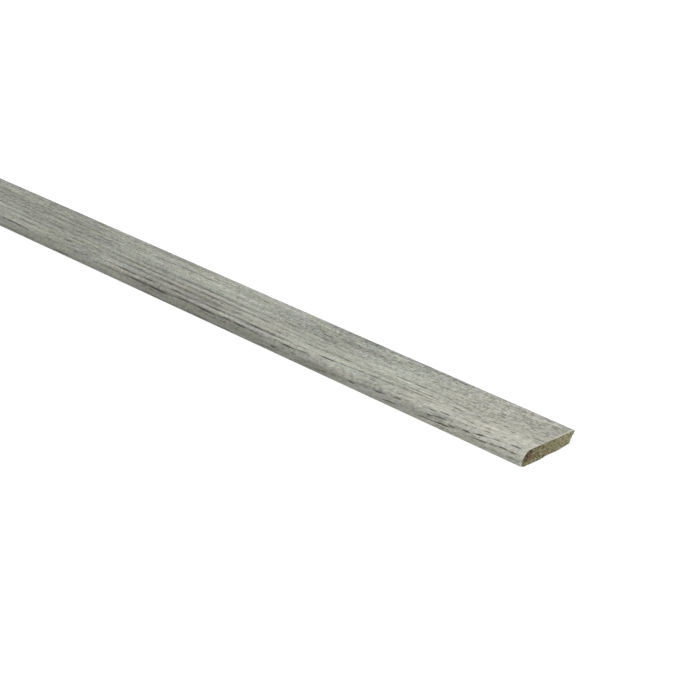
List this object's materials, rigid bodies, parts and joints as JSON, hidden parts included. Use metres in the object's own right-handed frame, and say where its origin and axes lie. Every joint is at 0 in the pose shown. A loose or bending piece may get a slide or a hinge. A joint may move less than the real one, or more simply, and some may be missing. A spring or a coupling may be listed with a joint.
{
  "type": "flat skirting board",
  "caption": "Flat skirting strip of fibreboard wrapped in grey wood-grain foil, with a rounded top edge and an undercut floor edge, glued along the foot of a wall to cover the floor's gap.",
  "frame": {"origin": "middle of the glue face, which is the flat back that the strip lies on", "axes": "+X along the strip, towards the sawn end that the picture shows; +Y across it, towards the undercut floor edge; +Z out of the decorated face"},
  "size_m": [2.4, 0.024, 0.005],
  "materials": {
    "fibreboard": "bare medium-density fibreboard, sawn at the ends",
    "grey_oak_foil": "matt decor foil, printed with a weathered grey oak grain"
  },
  "bodies": {
    "root": {"fibreboard_core": "fibreboard", "decor_foil": "grey_oak_foil"}
  },
  "joints": []
}
